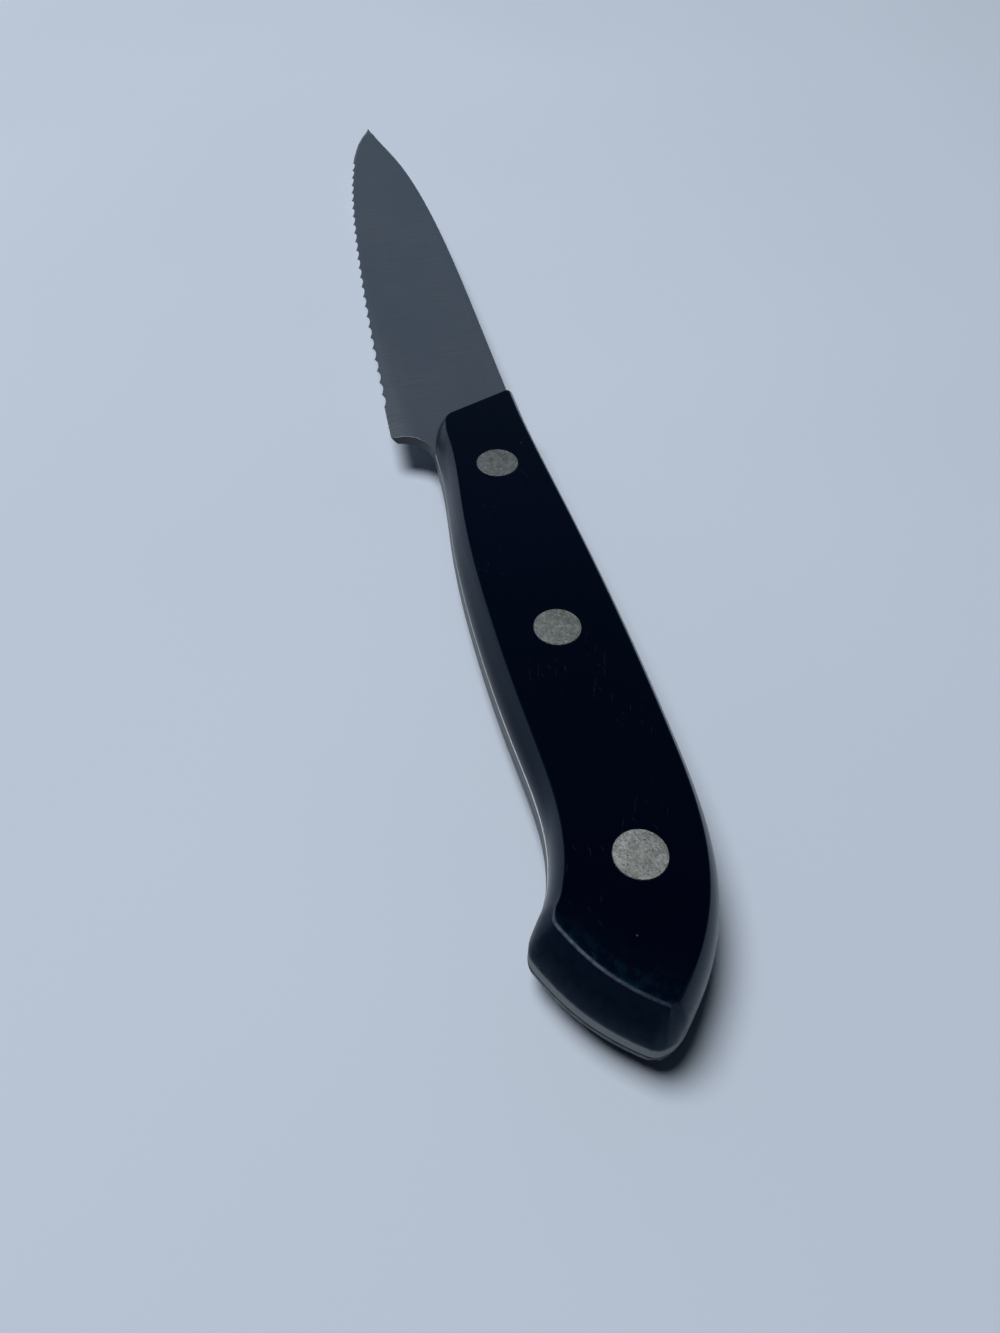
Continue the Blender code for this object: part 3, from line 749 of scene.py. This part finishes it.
def plastic_finish():
    """Black moulded plastic with a satin gloss and duller walls: a faint waviness and grain from the mould,
    patches of short hair scratches, a little dust, wear at the butt, and a pale ridge there that is partly a
    scuff and partly a painted highlight."""
    deep_black, blue_black = (0.0004, 0.0011, 0.0045), (0.0006, 0.0015, 0.0055)
    scratch_colour, dust_colour = (0.05, 0.06, 0.08), (0.12, 0.14, 0.17)
    # Pale colour of the ridge: partly a scuff, partly a painted highlight.
    scuff_and_highlight_colour = (0.084, 0.089, 0.112)

    material, tree, shader, place = new_finish("black_moulded_plastic", IOR=1.35)
    shader.inputs["Specular Tint"].default_value = (0.10, 0.52, 1.0, 1.0)
    cloud = noise(tree, place, 60.0, 3.0)
    dust = use_effect(tree, specks, place, Spacing=0.0040, Share=0.5, Size=0.035)
    along = use_effect(tree, hair_scratches, place, Heading=0.35, Spacing=0.0013, Length=0.0015,
                       Width=0.00005, Share=0.16)
    slanted = use_effect(tree, hair_scratches, place, Heading=-0.4, Spacing=0.0015, Length=0.0010,
                         Width=0.00005, Share=0.14)
    patchy = between(tree, noise(tree, place, 75.0, 1.0), 0.54, 0.66)
    hair = maths(tree, "MULTIPLY", maths(tree, "MAXIMUM", along, slanted), patchy)
    rearward = facing(tree, rear_way)
    rubbed, scuff_and_highlight = ridge_wear_and_highlight(tree, place, rearward)
    deep = mixed(tree, cloud, deep_black, blue_black)
    scratched = mixed(tree, maths(tree, "MULTIPLY", hair, 0.25), deep, scratch_colour)
    dusty = mixed(tree, maths(tree, "MULTIPLY", dust, 0.4), scratched, dust_colour)
    # The pale ridge is partly a scuff and partly a painted highlight along the ridge.
    tree.links.new(mixed(tree, scuff_and_highlight, dusty, scuff_and_highlight_colour), shader.inputs["Base Color"])

    clouded = between(tree, cloud, 0.3, 0.7, 0.12, 0.15)
    sheen = maths(tree, "ADD", clouded, maths(tree, "MULTIPLY", hair, 0.15))
    moulded = maths(tree, "SUBTRACT", 1.0, facing_up(tree, 0.90, 0.995))
    walls = maths(tree, "MULTIPLY_ADD", moulded, 0.13, sheen)
    edges = maths(tree, "MULTIPLY_ADD", rubbed, 0.42, walls)
    rough = maths(tree, "ADD", edges, butt_dulling(tree, place, rearward))
    tree.links.new(rough, shader.inputs["Roughness"])

    grained = bumped(tree, noise(tree, place, 4000.0, 3.0), 0.0000005)
    wavy = bumped(tree, noise(tree, place, 140.0, 2.0), 0.00001, Normal=grained)
    tree.links.new(wavy, shader.inputs["Normal"])
    return material


black_plastic = plastic_finish()
for name, side, shape in (("upper_scale", 1, upper_shape), ("lower_scale", -1, lower_shape)):
    rings = scale_rings(*shape) * np.array([1.0, 1.0, side])
    scale_piece = closed_surface("moulded_" + name, rings)
    settle(scale_piece, sharp_angle=40.0)
    cut_holes(scale_piece, side)
    settle(scale_piece, sharp_angle=40.0)
    scale_piece.data.materials.append(black_plastic)
    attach(scale_piece, "root")
    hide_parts(name)


# Rivets
# Three two-piece cutler's rivets of grey metal. The pin of the upper half is driven into the
# tube of the lower half through both scales and the tang, and the heads are sanded flush.

crown, chamfer = 0.015, 0.09
under_head = handle_half - head_height
centre_radius = 0.2
lead_in = 0.3
pin_gap, mouth_gap = 0.3, 1.5


def head_face():
    """Face of a head from near its middle out: a very low crown, which falls with the
    square of the radius, and a small bright rim."""
    radius = np.array([0.4, 1.2, 2.0, 2.8, head_radius - chamfer])
    height = handle_half - crown * (radius / head_radius) ** 2
    return list(zip(radius, height)) + [(head_radius, handle_half - crown - chamfer)]


def pin_profile():
    """Upper half: head, pin and the small lead-in at the pin's end."""
    pin = tube_radius - tube_wall - fit
    pin_end = -under_head + tube_floor + pin_gap
    return head_face() + [(head_radius, under_head), (pin, under_head), (pin, pin_end + lead_in),
                          (pin - lead_in, pin_end), (centre_radius, pin_end)]


def tube_profile():
    """Lower half, drawn head up: head, tube wall, its chamfered mouth and the blind bore."""
    bore = tube_radius - tube_wall
    mouth = -under_head + mouth_gap
    bore_end = under_head - tube_floor
    return head_face() + [(head_radius, under_head), (tube_radius, under_head),
                          (tube_radius, mouth + lead_in), (tube_radius - lead_in, mouth),
                          (bore, mouth), (bore, bore_end), (centre_radius, bore_end)]


def rivet_finish():
    """Dull grey metal, mottled where the belt has torn it, with pits and sanding marks, and a paler rim that
    is a painted highlight where the rim catches light."""
    dark_grey, pale_grey = (0.27, 0.285, 0.275), (0.52, 0.54, 0.525)
    cloud_colour, pit_colour = (0.25, 0.26, 0.24), (0.14, 0.15, 0.135)
    sanding_colour, rim_highlight_colour = (0.75, 0.77, 0.75), (0.60, 0.62, 0.62)

    material, tree, shader, place = new_finish("dull_rivet_metal", Metallic=1.0)
    torn = noise(tree, place, 2600.0, 4.0, 0.7)
    cloud = noise(tree, place, 900.0, 3.0, 0.6)
    pits = use_effect(tree, specks, place, Spacing=0.00040, Share=0.35, Size=0.40)
    sanding = use_effect(tree, hair_scratches, place, Heading=-0.6, Spacing=0.00022, Length=0.0028,
                         Width=0.00004, Share=0.4)
    mottled = mixed(tree, between(tree, torn, 0.3, 0.7), dark_grey, pale_grey)
    clouded = mixed(tree, between(tree, cloud, 0.42, 0.62, 0.0, 0.75), mottled, cloud_colour)
    pitted = mixed(tree, maths(tree, "MULTIPLY", pits, 0.7), clouded, pit_colour)
    sanded = mixed(tree, maths(tree, "MULTIPLY", sanding, 0.3), pitted, sanding_colour)
    # Painted highlight: the turned-down rim is paler, as where it catches light.
    level = facing_up(tree, 0.70, 0.97)
    tree.links.new(mixed(tree, level, rim_highlight_colour, sanded), shader.inputs["Base Color"])
    tree.links.new(between(tree, torn, 0.3, 0.7, 0.36, 0.46), shader.inputs["Roughness"])
    height = maths(tree, "SUBTRACT", torn, maths(tree, "MULTIPLY", pits, 0.5))
    tree.links.new(bumped(tree, height, 0.000012), shader.inputs["Normal"])
    return material


rivet_metal = rivet_finish()
for place_name, place in rivet_places.items():
    for half, profile, side in (("male", pin_profile(), 1), ("female", tube_profile(), -1)):
        rings = turned_rings(profile, place) * np.array([1.0, 1.0, side])
        rivet = closed_surface(f"rivet_{half}_{place_name}_piece", rings)
        settle(rivet, sharp_angle=30.0)
        rivet.data.materials.append(rivet_metal)
        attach(rivet, "root")
        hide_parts(f"rivet_{half}_{place_name}")


# Floor
# A plain pale surface under the knife, matt and slightly blue. It is stage and no part of
# the knife.

floor_reach = 0.6


def floor_finish():
    """Matt pale blue-grey with a hardly visible unevenness."""
    material, tree, shader, place = new_finish("pale_floor", Roughness=0.9)
    shade = noise(tree, place, 8.0, 2.0)
    colour = mixed(tree, shade, (0.47, 0.53, 0.62), (0.51, 0.57, 0.66))
    tree.links.new(colour, shader.inputs["Base Color"])
    return material


corners = [(-floor_reach, -floor_reach, 0.0), (floor_reach, -floor_reach, 0.0),
           (floor_reach, floor_reach, 0.0), (-floor_reach, floor_reach, 0.0)]
floor_mesh = bpy.data.meshes.new("floor")
floor_mesh.from_pydata(corners, [], [(0, 1, 2, 3)])
floor_mesh.materials.append(floor_finish())
floor = bpy.data.objects.new("floor", floor_mesh)
bpy.context.scene.collection.objects.link(floor)


# Light
# A dim bluish room, brightest low down ahead of the knife, and two large soft lamps in one
# place high on the side of the cutting edge. One lights the surfaces, and the weaker one
# shows only in their gloss.

sky_tint = (0.57, 0.76, 1.0)
backdrop_colour = (0.42, 0.48, 0.57)
height_shares = [(0.0, 0.22), (0.10, 0.20), (0.37, 0.17), (0.59, 0.16),
                 (0.72, 0.10), (0.87, 0.014), (1.0, 0.008)]
side_shares = [(0.25, 0.15), (0.60, 0.45), (0.75, 0.90), (1.0, 1.0)]
ahead_heading = -10.0
lamp_heading, lamp_height = 58.0, 73.0
lamp_distance, lamp_size = 1.6, 0.84
lamp_power = 27.5
gloss_share = 0.6
lamp_colour = (0.97, 0.985, 1.0)


def share_ramp(tree, value, shares, tint):
    """Colour ramp on a value. Each stop has a position and a share of the tint."""
    made = node(tree, "ValToRGB", {0: value})
    elements = made.color_ramp.elements
    while len(elements) < len(shares):
        elements.new(0.5)
    for element, (position, share) in zip(elements, shares):
        element.position = position
        element.color = (*[share * part for part in tint], 1.0)
    return made.outputs[0]


world = bpy.data.worlds.new("room")
world.use_nodes = True
bpy.context.scene.world = world
sky = world.node_tree
look = node(sky, "TexCoord").outputs["Generated"]
by_height = share_ramp(sky, axes_of(sky, look)[2], height_shares, sky_tint)
ahead = share_along(sky, look, (*direction(ahead_heading), 0.0))
to_side = maths(sky, "MULTIPLY_ADD", ahead, 0.5, 0.5)
by_side = share_ramp(sky, to_side, side_shares, (1.0, 1.0, 1.0))
room = node(sky, "Mix", {0: 1.0, 6: by_height, 7: by_side}, data_type="RGBA", blend_type="MULTIPLY")
seen = node(sky, "LightPath").outputs["Is Camera Ray"]
backdrop = mixed(sky, seen, room.outputs[2], backdrop_colour)
sky.links.new(backdrop, sky.nodes["Background"].inputs["Color"])

lamp_way = Vector((*direction(lamp_heading), 0.0)) * math.cos(math.radians(lamp_height))
lamp_way.z = math.sin(math.radians(lamp_height))
lamp_place = lamp_way * lamp_distance


def soft_lamp(name, power):
    """Round area lamp at the lamps' place that faces the knife."""
    data = bpy.data.lights.new(name, "AREA")
    data.shape = "DISK"
    data.size = lamp_size
    data.energy = power
    data.color = lamp_colour
    lamp = bpy.data.objects.new(name, data)
    lamp.location = lamp_place
    lamp.rotation_euler = lamp_place.to_track_quat("Z", "Y").to_euler()
    bpy.context.scene.collection.objects.link(lamp)
    return lamp


soft_lamp("lamp_for_light", lamp_power).visible_glossy = False
soft_lamp("lamp_for_gloss", lamp_power * gloss_share).visible_diffuse = False


# Camera
# Behind the butt and above it, where the photograph was taken from, looking along the knife.

camera_place = Vector((-0.15523, 0.02935, 0.12124))
camera_heading, camera_dip, camera_roll = -14.2, 50.5, 1.1

camera_data = bpy.data.cameras.new("camera")
camera_data.sensor_width = 36.0
camera_data.lens = 27.03
camera_data.clip_start = 0.01
camera = bpy.data.objects.new("camera", camera_data)
camera.matrix_world = (Matrix.Translation(camera_place)
                       @ Matrix.Rotation(math.radians(camera_heading - 90.0), 4, "Z")
                       @ Matrix.Rotation(math.radians(90.0 - camera_dip), 4, "X")
                       @ Matrix.Rotation(math.radians(camera_roll), 4, "Z"))
bpy.context.scene.collection.objects.link(camera)
bpy.context.scene.camera = camera
bpy.context.scene.view_settings.view_transform = "Standard"
